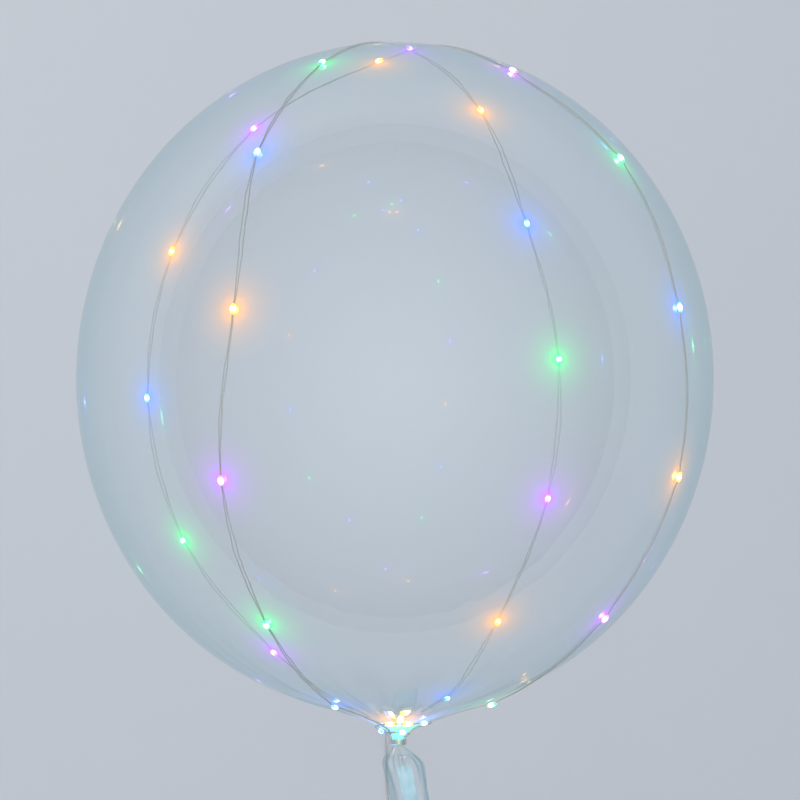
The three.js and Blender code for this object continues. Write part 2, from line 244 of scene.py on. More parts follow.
class Signal:
    """A shader socket, so that an expression on signals adds the nodes that work it out."""

    def __init__(self, graph: "ShaderGraph", socket: bpy.types.NodeSocket) -> None:
        """Wrap a socket of a graph."""
        self.graph = graph
        self.socket = socket

    def _math(self, operation: str, first: Any, second: Any) -> "Signal":
        """Add a Math node."""
        return self.graph.node("ShaderNodeMath", {"operation": operation}, {0: first, 1: second})

    def __add__(self, other: Any) -> "Signal":
        """Add."""
        return self._math("ADD", self, other)

    def __mul__(self, other: Any) -> "Signal":
        """Multiply."""
        return self._math("MULTIPLY", self, other)

    def __pow__(self, other: Any) -> "Signal":
        """Raise to a power."""
        return self._math("POWER", self, other)

    __radd__ = __add__
    __rmul__ = __mul__


class ShaderGraph:
    """The node tree of one material."""

    def __init__(self, name: str) -> None:
        """Start a material with an empty tree."""
        self.material = bpy.data.materials.new(name)
        self.material.use_nodes = True
        self.tree = self.material.node_tree
        self.tree.nodes.clear()

    def node(self, kind: str, settings: dict[str, Any], inputs: dict[Any, Any], output: Any = 0) -> Signal:
        """Add a node: its settings first, then the values or links of its sockets.

        Args:
            kind: the node's type.
            settings: its properties. A "stops" entry fills a colour ramp.
            inputs: values or signals by socket name or number.
            output: the name or number of the socket that is given back.

        Returns:
            The node's output.
        """
        made = self.tree.nodes.new(kind)
        for key, value in settings.items():
            if key == "stops":
                self.fill_ramp(made.color_ramp, value)
            else:
                setattr(made, key, value)
        for key, value in inputs.items():
            if isinstance(value, Signal):
                self.tree.links.new(value.socket, made.inputs[key])
            else:
                made.inputs[key].default_value = value
        return Signal(self, made.outputs[output])

    @staticmethod
    def fill_ramp(ramp: bpy.types.ColorRamp, stops: Sequence[tuple[float, Colour]]) -> None:
        """Set a ramp's stops."""
        for _ in stops[2:]:
            ramp.elements.new(0.5)
        for element, (place, colour) in zip(ramp.elements, stops):
            element.position = place
            element.color = (*colour, 1.0)

    def place(self) -> Signal:
        """Give the object coordinates."""
        return self.node("ShaderNodeTexCoord", {}, {}, "Object")

    def noise(self, scale: float, detail: float = 3.0, stretch: Colour = (1.0, 1.0, 1.0)) -> Signal:
        """Give a noise on the object coordinates, stretched along the axes."""
        mapped = self.node("ShaderNodeMapping", {}, {"Vector": self.place(), "Scale": stretch})
        return self.node(
            "ShaderNodeTexNoise", {}, {"Vector": mapped, "Scale": scale, "Detail": detail}, "Fac"
        )

    def layer(self, name: str, output: str = "Fac") -> Signal:
        """Give a value that the mesh carries."""
        return self.node("ShaderNodeAttribute", {"attribute_name": name}, {}, output)

    def blend(self, factor: Signal, first: Colour, second: Colour) -> Signal:
        """Mix two colours."""
        mix = self.tree.nodes.new("ShaderNodeMix")
        mix.data_type = "RGBA"
        self.tree.links.new(factor.socket, mix.inputs[0])
        mix.inputs[6].default_value = (*first, 1.0)
        mix.inputs[7].default_value = (*second, 1.0)
        return Signal(self, mix.outputs[2])

    def filtered(self, first: Signal, second: Signal) -> Signal:
        """Multiply two colours."""
        mix = self.tree.nodes.new("ShaderNodeMix")
        mix.data_type = "RGBA"
        mix.blend_type = "MULTIPLY"
        mix.inputs[0].default_value = 1.0
        self.tree.links.new(first.socket, mix.inputs[6])
        self.tree.links.new(second.socket, mix.inputs[7])
        return Signal(self, mix.outputs[2])

    def bump(self, height: Signal, strength: float, distance: float) -> Signal:
        """Turn a height into a normal."""
        return self.node("ShaderNodeBump", {}, {"Height": height, "Strength": strength, "Distance": distance})

    def finish(self, inputs: dict[str, Any]) -> bpy.types.Material:
        """End the tree in one Principled shader.

        Args:
            inputs: values or signals by socket name.

        Returns:
            The material.
        """
        shader = self.node("ShaderNodeBsdfPrincipled", {}, inputs)
        self.node_output(shader)
        return self.material

    def node_output(self, shader: Signal) -> None:
        """Link a shader to the material's output."""
        output = self.tree.nodes.new("ShaderNodeOutputMaterial")
        self.tree.links.new(shader.socket, output.inputs["Surface"])


# ------------------------------------------------------------------ finishes


class LampColour(Enum):
    """The colours of the lamps: the hue of the resin's glow, and its hottest part."""

    BLUE = ("B", (0.04, 0.20, 1.0), (0.62, 0.80, 1.0))
    GREEN = ("G", (0.0, 0.80, 0.16), (0.62, 1.0, 0.75))
    PURPLE = ("P", (0.46, 0.06, 1.0), (0.92, 0.70, 1.0))
    AMBER = ("Y", (1.0, 0.36, 0.0), (1.0, 0.85, 0.35))

    @property
    def letter(self) -> str:
        """Give the letter that stands for the colour."""
        return self.value[0]

    @property
    def hue(self) -> Colour:
        """Give the resin's hue."""
        return self.value[1]

    @property
    def core(self) -> Colour:
        """Give the colour of the hottest part."""
        return self.value[2]

    @classmethod
    def of(cls, letter: str) -> "LampColour":
        """Find a colour by its letter."""
        return next(colour for colour in cls if colour.letter == letter)


@dataclass(frozen=True)
class FilmFinish:
    """Clear stretched film: light goes straight through it, and its skin mirrors at a slant.

    The film is one thin wall, so it doesn't bend light: its own IOR is 1, and the gloss of its
    two faces is the coat's. Seen along its surface it is thicker, and so its tint is deeper.
    """

    name: str = "clear_film"
    tint: Colour = (0.97, 0.995, 1.0)
    edge_tint: Colour = (0.30, 0.62, 0.70)
    edge_power: float = 3.0
    coat_ior: float = 1.7
    coat_roughness: float = 0.02
    cloud: float = 0.05
    # Strength of the painted glow: emission painted into the film round each lamp, though the film is no
    # lamp.
    glow: float = 0.0

    def material(self) -> bpy.types.Material:
        """Build the film's material."""
        graph = ShaderGraph(self.name)
        cloud = graph.noise(6.0, 2.0)
        facing = graph.node("ShaderNodeLayerWeight", {}, {"Blend": 0.5}, "Facing")
        slant = facing ** self.edge_power + cloud * self.cloud
        tint = graph.blend(slant, self.tint, self.edge_tint)
        inputs: dict[str, Any] = {
            "Base Color": tint,
            "Roughness": 0.0,
            "IOR": 1.0,
            "Transmission Weight": 1.0,
            "Coat Weight": 1.0,
            "Coat IOR": self.coat_ior,
            "Coat Roughness": self.coat_roughness,
            "Normal": graph.bump(cloud, 0.1, 0.01),
        }
        # Painted light: near each lamp the film's colour is a painted tint of the lamp's hue, and the film
        # gives off that hue.
        if self.glow:
            inputs["Base Color"] = graph.filtered(tint, graph.layer("lamp_tint", "Color"))
            inputs["Emission Color"] = graph.layer("lamp_glow", "Color")
            inputs["Emission Strength"] = self.glow
        material = graph.finish(inputs)
        material.cycles.emission_sampling = "NONE"
        return material


@dataclass(frozen=True)
class ValveFinish:
    """The doubled film of the valve: milky, with pressed cross lines."""

    name: str = "valve_film"

    def material(self) -> bpy.types.Material:
        """Build the valve film's material."""
        graph = ShaderGraph(self.name)
        cloud = graph.noise(260.0, 4.0, (1.0, 0.35, 1.0))
        colour = graph.blend(cloud, (0.22, 0.60, 0.70), (0.85, 0.97, 1.0))
        return graph.finish({
            "Base Color": colour,
            "Roughness": 0.25,
            "Alpha": 0.5,
            "Normal": graph.bump(cloud, 0.3, 0.0006),
        })


@dataclass(frozen=True)
class WireFinish:
    """Fine lacquered wire: a silvery metal with a faint warm and cool drift."""

    name: str = "lacquered_wire"
    cool: Colour = (0.62, 0.72, 0.74)
    warm: Colour = (0.78, 0.70, 0.58)

    def material(self) -> bpy.types.Material:
        """Build the wire's material."""
        graph = ShaderGraph(self.name)
        drift = graph.noise(22.0, 3.0)
        scratch = graph.noise(900.0, 2.0)
        return graph.finish({
            "Base Color": graph.blend(drift, self.cool, self.warm),
            "Metallic": 0.85,
            "Roughness": scratch * 0.18 + 0.22,
            "Normal": graph.bump(scratch, 0.15, 0.0002),
        })


@dataclass(frozen=True)
class LampFinish:
    """A drop of clear resin, lit from inside."""

    colour: LampColour
    strength: float = 6.0

    def material(self) -> bpy.types.Material:
        """Build the resin's material: its colour runs from the hue at its ends to a hot core."""
        graph = ShaderGraph(f"resin_{self.colour.name.lower()}")
        core = graph.layer("core")
        glow = graph.blend(core, self.colour.hue, self.colour.core)
        return graph.finish({
            "Base Color": graph.blend(core, self.colour.hue, (1.0, 1.0, 1.0)),
            "Roughness": graph.noise(700.0, 2.0) * 0.1 + 0.08,
            "Coat Weight": 0.6,
            "Emission Color": glow,
            "Emission Strength": self.strength,
        })


@dataclass(frozen=True)
class PlasticFinish:
    """Moulded plastic with a fine grain."""

    name: str
    light: Colour
    dark: Colour
    roughness: float = 0.38

    def material(self) -> bpy.types.Material:
        """Build the plastic's material."""
        graph = ShaderGraph(self.name)
        grain = graph.noise(1400.0, 3.0)
        cloud = graph.noise(35.0, 2.0)
        return graph.finish({
            "Base Color": graph.blend(cloud, self.dark, self.light),
            "Roughness": grain * 0.12 + (self.roughness - 0.06),
            "Normal": graph.bump(grain, 0.2, 0.0002),
        })


@dataclass(frozen=True)
class FloorFinish:
    """The plain pale floor."""

    colour: Colour = (0.66, 0.68, 0.71)

    def material(self) -> bpy.types.Material:
        """Build the floor's material."""
        graph = ShaderGraph("pale_floor")
        cloud = graph.noise(3.0, 2.0)
        low = tuple(0.985 * channel for channel in self.colour)
        return graph.finish({"Base Color": graph.blend(cloud, low, self.colour), "Roughness": 0.75})


# ------------------------------------------------------------------ the bubble's form


@dataclass(frozen=True)
class BubbleForm:
    """The film's shape: an egg of revolution about Y, then a flare into a pleated waist.

    Distances run from the bubble's centre towards the tail.
    """

    centre: Array
    radius: float = 225 * MM
    half_length: float = 237.5 * MM
    flare_start: float = 229 * MM
    waist_start: float = 254 * MM
    waist_end: float = 259 * MM
    waist_radius: float = 3.6 * MM
    flare_power: float = 1.66
    neck_lean: float = 2 * MM
    pleat_start: float = 208 * MM
    pleat_count: int = 12
    pleat_depth: float = 0.16

    @classmethod
    def from_model(cls) -> "BubbleForm":
        """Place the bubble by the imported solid's box."""
        low, high = (np.array(corner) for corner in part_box("bubble"))
        return cls(np.array([0.0, high[1] - cls.half_length, high[2] - (high[0] - low[0]) / 2]))

    def egg_radius(self, distance: Array) -> Array:
        """Give the egg's radius: the radius times the root of 1 less the squared share."""
        return self.radius * np.sqrt(np.maximum(1 - (distance / self.half_length) ** 2, 0.0))

    def film_radius(self, distance: Array) -> Array:
        """Give the film's mean radius, where past the flare's start it falls by a power of the way left."""
        start = float(self.egg_radius(np.array(self.flare_start)))
        along = np.clip((distance - self.flare_start) / (self.waist_start - self.flare_start), 0, 1)
        flare = self.waist_radius + (start - self.waist_radius) * (1 - along) ** self.flare_power
        return np.where(distance < self.flare_start, self.egg_radius(distance), flare)

    def pleat(self, distance: Array) -> Array:
        """Give the depth of the pleats, as a part of the radius."""
        return self.pleat_depth * ease(distance, self.pleat_start, self.waist_start)

    def lean(self, distance: Array) -> Array:
        """Give the sideways offset of the neck."""
        return self.neck_lean * ease(distance, self.pleat_start, self.waist_start)

    @property
    def flare_angle(self) -> float:
        """Give the angle off the crown at which the flare starts."""
        return math.pi - math.acos(self.flare_start / self.half_length)

    def distance_at(self, angle: Array) -> Array:
        """Turn an angle off the crown into a distance, which runs on linearly past the flare's start."""
        share = (angle - self.flare_angle) / (math.pi - self.flare_angle)
        beyond = self.flare_start + share * (self.waist_start - self.flare_start)
        return np.where(angle < self.flare_angle, -self.half_length * np.cos(angle), beyond)

    def on_film(self, angle: Array, azimuth: Array, lift: Array) -> tuple[Array, Array]:
        """Give places above the film's crests, and the film's outward normals there.

        The normal is square to the profile's slope, taken over a small step of the angle.

        Args:
            angle: angles off the crown.
            azimuth: turns about the neck's axis, 0 towards +Z.
            lift: heights above the film.

        Returns:
            The places and the normals.
        """
        step = 1e-3
        before, after = np.maximum(angle - step, 0), np.minimum(angle + step, math.pi)
        far, near = self.distance_at(after), self.distance_at(before)
        rise = self.crest(far) - self.crest(near)
        run = far - near
        size = np.maximum(np.hypot(rise, run), 1e-12)
        out_radius, out_distance = run / size, -rise / size
        distance = self.distance_at(angle)
        radius = self.crest(distance) + lift * out_radius
        distance = distance + lift * out_distance
        radial = np.stack([np.sin(azimuth), np.zeros_like(azimuth), np.cos(azimuth)], -1)
        axis = np.array([0.0, 1.0, 0.0])
        places = self.centre + radial * radius[..., None] - axis * distance[..., None]
        places[..., 0] += self.lean(distance)
        return places, radial * out_radius[..., None] - axis * out_distance[..., None]

    def crest(self, distance: Array) -> Array:
        """Give the radius of the pleats' crests."""
        return self.film_radius(distance) * (1 + self.pleat(distance))


@dataclass
class BubbleFilm:
    """The inflated envelope of film, from the crown to the gathered waist."""

    form: BubbleForm
    around: int = 288
    egg_rows: int = 120
    neck_rows: int = 56
    crease_reach: float = 85 * MM
    crease_depth: float = 0.22 * MM
    pleat_waves: tuple[tuple[int, float, float], ...] = ((12, 0.0, 0.72), (19, 1.3, 0.18), (31, 0.4, 0.10))
    # Painted light round each lamp: the spread and share of the painted glow, near and far, and how strongly
    # the painted tint turns the film to the lamp's hue.
    painted_glow_near: tuple[float, float] = (7 * MM, 0.75)
    painted_glow_far: tuple[float, float] = (19 * MM, 0.35)
    painted_tint_filter: float = 0.8

    def rings(self) -> Array:
        """Work out the outer wall as rings from the waist to the crown.

        Each ring is the film's radius, swelled by the pleats' cosines and by finer creases
        that die out away from the neck. Points below the floor are raised to it.
        """
        form = self.form
        neck = np.linspace(form.waist_end, form.pleat_start - 60 * MM, self.neck_rows, endpoint=False)
        start = math.acos((form.pleat_start - 60 * MM) / form.half_length)
        egg = form.half_length * np.cos(np.linspace(start, math.pi * 0.996, self.egg_rows))
        distance = np.concatenate([neck, egg])[:, None]
        azimuth = np.linspace(0, 2 * math.pi, self.around, endpoint=False)[None, :]
        pleats = sum(part * np.cos(count * azimuth + phase) for count, phase, part in self.pleat_waves)
        swell = 1 + form.pleat(distance) * pleats
        fade = hill(np.maximum(form.waist_start - distance, 0), self.crease_reach)
        creases = np.cos(37 * azimuth + 2.0 * np.sin(3 * azimuth)) + 0.6 * np.cos(53 * azimuth + 0.7)
        radius = form.film_radius(distance) * swell
        radius = radius + self.crease_depth * fade * creases * ease(radius, 4 * MM, 22 * MM)
        rings = np.stack([
            form.centre[0] + radius * np.sin(azimuth) + form.lean(distance),
            form.centre[1] - distance + 0 * azimuth,
            form.centre[2] + radius * np.cos(azimuth),
        ], -1)
        rings[..., 2] = np.maximum(rings[..., 2], 0.0)
        return rings

    def build(self, finish: FilmFinish, glow: Sequence[tuple[Array, Colour]]) -> bpy.types.Object:
        """Build the film, with light painted into it round each lamp.

        The painted glow round a lamp is a bell curve of the distance from it. There the film's colour
        is a painted tint of the lamp's hue, and it gives off that hue as painted light, though it is no lamp.

        Args:
            finish: the film's finish.
            glow: the place and colour of each lamp.

        Returns:
            The piece, which stands for the bubble's solid.
        """
        rings = self.rings()
        # Painted light: sum each lamp's painted glow colour and multiply in its painted tint, point by point
        # on the film.
        light = np.ones((*rings.shape[:2], 4))
        light[..., :3] = 0.0
        tint = np.ones((*rings.shape[:2], 4))
        for place, colour in glow:
            away = np.linalg.norm(rings - place, axis=-1)
            near = sum(part * hill(away, spread) for spread, part in (self.painted_glow_near, self.painted_glow_far))
            near = near[..., None]
            light[..., :3] += near * np.array(colour)
            tint[..., :3] *= 1 - near * (1 - np.array(colour)) * self.painted_tint_filter
        layers = {"lamp_glow": light, "lamp_tint": np.maximum(tint, 0.02)}
        piece = make_piece("bubble_film", closed_grid(rings, layers), finish.material())
        piece.visible_shadow = False
        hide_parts("bubble")
        return piece


# ------------------------------------------------------------------ the tail


@dataclass
class TailSleeve:
    """The film's sleeve past the tie: gathered at the tie, puffed, and open at its mouth.

    Distances run from the tie to the mouth.
    """

    form: BubbleForm
    length: float = 80.5 * MM
    gap: float = 0.35 * MM
    wall: float = 0.15 * MM
    lean: float = 16 * MM
    lean_length: float = 48 * MM
    shoulder: float = 15 * MM
    half_width: float = 14.4 * MM
    half_depth: float = 10.2 * MM
    solid_length: float = 7 * MM
    pleat_depth: float = 0.11
    pleat_reach: float = 18 * MM
    fold_depth: float = 0.035
    crease_depth: float = 0.055
    rows: int = 90
    around: int = 144

    @property
    def tie(self) -> Array:
        """Give the middle of the sleeve's gathered end."""
        return self.form.centre - np.array([0.0, self.form.waist_end + self.gap, 0.0])

    def drift(self, along: Array) -> Array:
        """Give the sideways offset, which runs out towards its full size."""
        return self.form.neck_lean + self.lean * (1 - np.exp(-along / self.lean_length))

    def sizes(self, along: Array) -> tuple[Array, Array]:
        """Give half the width and half the depth: a power of a sine opens the gather out."""
        opened = np.sin(math.pi / 2 * np.clip(along / self.shoulder, 0, 1)) ** 1.3
        slack = 1 - 0.07 * np.sin(math.pi * along / self.length) * opened
        tied = self.form.waist_radius
        return (
            (tied + (self.half_width - tied) * opened) * slack,
            (tied + (self.half_depth - tied) * opened) * slack,
        )

    def rings(self, along: Array, inset: float) -> Array:
        """Work out rings of the sleeve's wall.

        An ellipse, swelled by pleats that fade away from the tie and by long soft folds.

        Args:
            along: distances from the tie.
            inset: how far the wall lies inside the sleeve's outline.

        Returns:
            The rings.
        """
        along = along[:, None]
        azimuth = np.linspace(0, 2 * math.pi, self.around, endpoint=False)[None, :]
        half_width, half_depth = self.sizes(along)
        pleats = np.cos(9 * azimuth + 0.5) + 0.5 * np.cos(17 * azimuth + 1.1)
        folds = np.cos(5 * azimuth + 9 * along + 0.8) + 0.6 * np.cos(8 * azimuth - 14 * along)
        creases = np.abs(np.sin(3.5 * azimuth + 6 * np.sin(22 * along) + 0.4)) ** 0.7 - 0.6
        swell = 1 + self.pleat_depth * hill(along, self.pleat_reach) * pleats
        slack = self.fold_depth * folds + self.crease_depth * creases
        swell = swell + ease(along, 4 * MM, 26 * MM) * slack
        shade = np.clip((half_width * swell - inset) / half_width, 0, None)
        depth = np.clip((half_depth * swell - inset) / half_depth, 0, None)
        return self.tie + np.stack([
            self.drift(along) + half_width * shade * np.sin(azimuth),
            -along + 0 * azimuth,
            half_depth * depth * np.cos(azimuth),
        ], -1)

    def build(self, finish: FilmFinish) -> bpy.types.Object:
        """Build the sleeve: the outer wall to the mouth, and the inner wall back."""
        spacing = np.linspace(0, 1, self.rows) ** 1.3
        outward = spacing * self.length
        inward = (self.solid_length + spacing * (self.length - self.solid_length))[::-1]
        rings = np.concatenate([self.rings(outward, 0.0), self.rings(inward, self.wall)])
        piece = make_piece("tail_film", closed_grid(rings), finish.material())
        piece.visible_shadow = False
        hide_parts("tail_sleeve")
        return piece


@dataclass
class ValveStrip:
    """The valve's doubled strip inside the sleeve: a thin plate that follows the sleeve's lean."""

    sleeve: TailSleeve
    rows: int = 60

    def build(self, finish: ValveFinish) -> bpy.types.Object:
        """Build the strip in the box of its solid, as a flat tube along the sleeve."""
        low, high = (np.array(corner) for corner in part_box("valve_strip"))
        along = np.linspace(self.sleeve.tie[1] - high[1], self.sleeve.tie[1] - low[1], self.rows)
        middle = (low[2] + high[2]) / 2
        line = np.stack([
            self.sleeve.tie[0] + self.sleeve.drift(along),
            self.sleeve.tie[1] - along,
            middle + 0.5 * MM * np.sin(along * 260) + 0.3 * MM * np.sin(along * 610),
        ], -1)
        side = np.tile([1.0, 0.0, 0.0], (self.rows, 1))
        up = np.tile([0.0, 0.0, 1.0], (self.rows, 1))
        piece = make_piece("valve", tube(line, side, up, 5.4 * MM, 0.25 * MM, 24), finish.material())
        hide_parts("valve_strip")
        return piece


# ------------------------------------------------------------------ the string of lights


@dataclass
class Lamp:
    """One light of the string: its number, colour, place, and its directions along and off the film."""

    number: int
    colour: LampColour
    place: Array
    along: Array
    out: Array
    half_length: float = 3.4 * MM
    half_width: float = 2.05 * MM
    half_height: float = 1.5 * MM
    neck: float = 0.5 * MM
    rows: int = 22
    around: int = 20

    def build(self, materials: dict[LampColour, bpy.types.Material]) -> bpy.types.Object:
        """Build the drop: an ellipse along the wire, swelled by a power of a sine."""
        out = unit(self.out - self.along * float(self.out @ self.along))
        side = np.cross(self.along, out)
        share = np.linspace(0, 1, self.rows)
        swell = np.sin(math.pi * np.clip(share, 0.004, 0.996)) ** 0.62
        reach = (2 * share - 1) * self.half_length
        line = self.place + reach[:, None] * self.along
        width = self.neck + (self.half_width - self.neck) * swell
        height = self.neck + (self.half_height - self.neck) * swell
        drop = tube(
            line, np.tile(side, (self.rows, 1)), np.tile(out, (self.rows, 1)), width, height, self.around
        )
        core = np.repeat(hill(share - 0.5, 0.24), self.around)
        drop.layers["core"] = np.concatenate([core, core[[0, -1]]])[:, None]
        piece = make_piece(f"lamp_{self.number:02d}", drop, materials[self.colour])
        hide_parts(f"light_{self.number:02d}")
        return piece


@dataclass
class WireLoop:
    """One loop of the string over the bubble.

    A station is the angle from the crown along the loop, and a drift how far the wire strays
    sideways there, both in degrees, with one pair for each light.
    """

    form: BubbleForm
    node: str
    heading: float
    hump: float
    colours: str
    stations: tuple[tuple[float, float], ...]
    first: int
    end_station: float = 177.0
    hump_spread: float = 8.0
    lamp_lift: float = 1.9 * MM
    low_lift: float = 0.55 * MM
    strand: float = 0.36 * MM
    bow: tuple[float, float] = (-0.3, 2.4)
    steps: int = 900

    def place(self, stations: Array, drifts: Array, lift: Array) -> tuple[Array, Array]:
        """Turn stations and drifts into places above the film.

        The direction is the crown's axis turned by the station towards the heading, and then
        by the drift to its side.

        Args:
            stations: angles from the crown, in radians.
            drifts: sideways angles, in radians.
            lift: heights above the film.

        Returns:
            The places and the film's normals.
        """
        heading = math.radians(self.heading)
        forward = np.cos(drifts) * np.sin(stations)
        up = np.cos(drifts) * np.cos(stations)
        side = np.sin(drifts)
        x = forward * math.sin(heading) + side * math.cos(heading)
        z = forward * math.cos(heading) - side * math.sin(heading)
        hump = self.hump * hill(stations, math.radians(self.hump_spread))
        return self.form.on_film(np.arccos(np.clip(up, -1, 1)), np.arctan2(x, z), lift + hump)

    def plan(self) -> tuple[Array, Array, Array]:
        """Run the route through the lights: stations, drifts and positions in the list."""
        ends = [(self.end_station, 0.0), *self.stations, (-self.end_station, 0.0)]
        line, position = smooth_line(np.radians(np.array(ends)), self.steps)
        return line[:, 0], line[:, 1], position

    def lamps(self) -> list[Lamp]:
        """Work out the loop's lamps, each along the wire."""
        stations, drifts, position = self.plan()
        lift = np.full(self.steps, self.lamp_lift)
        line, _ = self.place(stations, drifts, lift)
        tangents = unit(np.gradient(line, axis=0))
        made = []
        for i, (station, drift) in enumerate(self.stations):
            at = int(np.abs(position - (i + 1)).argmin())
            spot, normal = self.place(
                np.radians(np.array([station])), np.radians(np.array([drift])), lift[:1]
            )
            colour = LampColour.of(self.colours[i])
            made.append(Lamp(self.first + i, colour, spot[0], tangents[at], normal[0]))
        return made

    def strands(self, seed: int) -> list[Surface]:
        """Lay the two strands of the wire, which bow apart between the lights.

        Sideways, a strand is half a pair's width off the route, plus a bow that is a power of
        a sine of the way between two lights, plus a fine waver.

        Args:
            seed: the seed of the bows' sizes.

        Returns:
            A tube for each strand.
        """
        chance = np.random.default_rng(seed)
        stations, drifts, position = self.plan()
        share = position % 1.0
        span = np.minimum(position.astype(int), len(self.stations))
        between = np.sin(math.pi * share) ** 1.4
        near = np.sin(math.pi * np.clip(share, 0, 1))
        lift = self.low_lift + (self.lamp_lift - self.low_lift) * hill(near, 0.16)
        line, normals = self.place(stations, drifts, lift)
        tangents = unit(np.gradient(line, axis=0))
        side = unit(np.cross(tangents, normals))
        up = np.cross(side, tangents)
        run = run_length(line)
        made = []
        for hand in (-1.0, 1.0):
            bows = chance.uniform(*self.bow, len(self.stations) + 1) * MM
            waver = 0.28 * MM * np.sin(run * chance.uniform(160, 220) + chance.uniform(0, 6))
            waver = waver + 0.2 * MM * np.sin(run * chance.uniform(330, 420))
            offset = hand * (self.strand * 1.04 + bows[span] * between) + waver * between
            centre = line + offset[:, None] * side
            made.append(tube(centre, side, up, self.strand, self.strand, 7))
        return made

    def build(self, material: bpy.types.Material, seed: int) -> bpy.types.Object:
        """Build the loop's wire."""
        piece = make_piece(f"{self.node}_strands", joined(self.strands(seed)), material)
        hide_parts(self.node)
        return piece


@dataclass
class Knot:
    """The knot at the neck: turns of wire round the waist, and a slack turn through five lamps.

    Each lamp is a distance from the bubble's centre, an azimuth in degrees and a colour.
    """

    form: BubbleForm
    first: int
    lamp_places: tuple[tuple[float, float, str], ...] = (
        (240.0, -10.0, "Y"),
        (240.0, 15.0, "Y"),
        (240.0, 40.0, "B"),
        (247.5, 15.0, "G"),
        (247.5, -80.0, "B"),
    )
    slack: tuple[tuple[float, float], ...] = (
        (253.0, -170.0),
        (250.0, -125.0),
        (247.5, -80.0),
        (242.5, -42.0),
        (240.0, -10.0),
        (240.0, 15.0),
        (240.0, 40.0),
        (241.5, 75.0),
        (246.0, 130.0),
        (249.0, 210.0),
        (248.0, 310.0),
        (247.5, 375.0),
        (250.5, 440.0),
        (253.5, 520.0),
    )
    lift: float = 1.9 * MM
    turns: float = 4.3
    strand: float = 0.36 * MM

    def film_places(self, distances: Array, azimuths: Array, lift: float) -> tuple[Array, Array]:
        """Give places over the flare, from distances and azimuths."""
        form = self.form
        share = (distances - form.flare_start) / (form.waist_start - form.flare_start)
        angle = form.flare_angle + share * (math.pi - form.flare_angle)
        return form.on_film(angle, azimuths, np.full(len(angle), lift))

    def lamps(self) -> list[Lamp]:
        """Work out the bunched lamps, which lie round the neck."""
        made = []
        for i, (distance, azimuth, letter) in enumerate(self.lamp_places):
            turn = math.radians(azimuth)
            spot, normal = self.film_places(np.array([distance * MM]), np.array([turn]), self.lift)
            along = np.array([math.cos(turn), 0.0, -math.sin(turn)])
            made.append(Lamp(self.first + i, LampColour.of(letter), spot[0], along, normal[0]))
        return made

    def build(self, material: bpy.types.Material) -> bpy.types.Object:
        """Build the turns and the slack, each of two strands."""
        route, _ = smooth_line(np.array(self.slack), 420)
        line, normals = self.film_places(route[:, 0] * MM, np.radians(route[:, 1]), self.lift)
        tangents = unit(np.gradient(line, axis=0))
        side = unit(np.cross(tangents, normals))
        up = np.cross(side, tangents)
        shift = 1.04 * self.strand * side
        parts = [tube(line + hand * shift, side, up, self.strand, self.strand, 7) for hand in (-1, 1)]
        parts += self.waist_turns()
        piece = make_piece("knot_wire", joined(parts), material)
        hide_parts("wire_wraps")
        return piece

    def waist_turns(self) -> list[Surface]:
        """Wind two strands round the waist, as one helix beside another."""
        low, high = (np.array(corner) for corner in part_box("wire_wraps"))
        middle = (low + high) / 2
        radius = (high[0] - low[0]) / 2 - self.strand
        turn = np.linspace(0, 2 * math.pi * self.turns, 360)
        share = turn / turn[-1]
        pitch = (high[1] - low[1] - 4 * self.strand) / self.turns
        radial = np.stack([np.sin(turn), 0 * turn, np.cos(turn)], -1)
        axis = np.tile([0.0, 1.0, 0.0], (len(turn), 1))
        made = []
        for half in (0.0, 0.5):
            along = low[1] + 2 * self.strand + pitch * (share * self.turns + half - 0.25)
            wobble = 0.12 * MM * np.sin(5.3 * turn + half * 9)
            centre = middle[[0, 2]]
            line = radial * (radius + wobble)[:, None]
            line[:, 0] += centre[0]
            line[:, 2] += centre[1]
            line[:, 1] = along
            made.append(tube(line, axis, radial, self.strand, self.strand, 7))
        return made


# ------------------------------------------------------------------ the lead


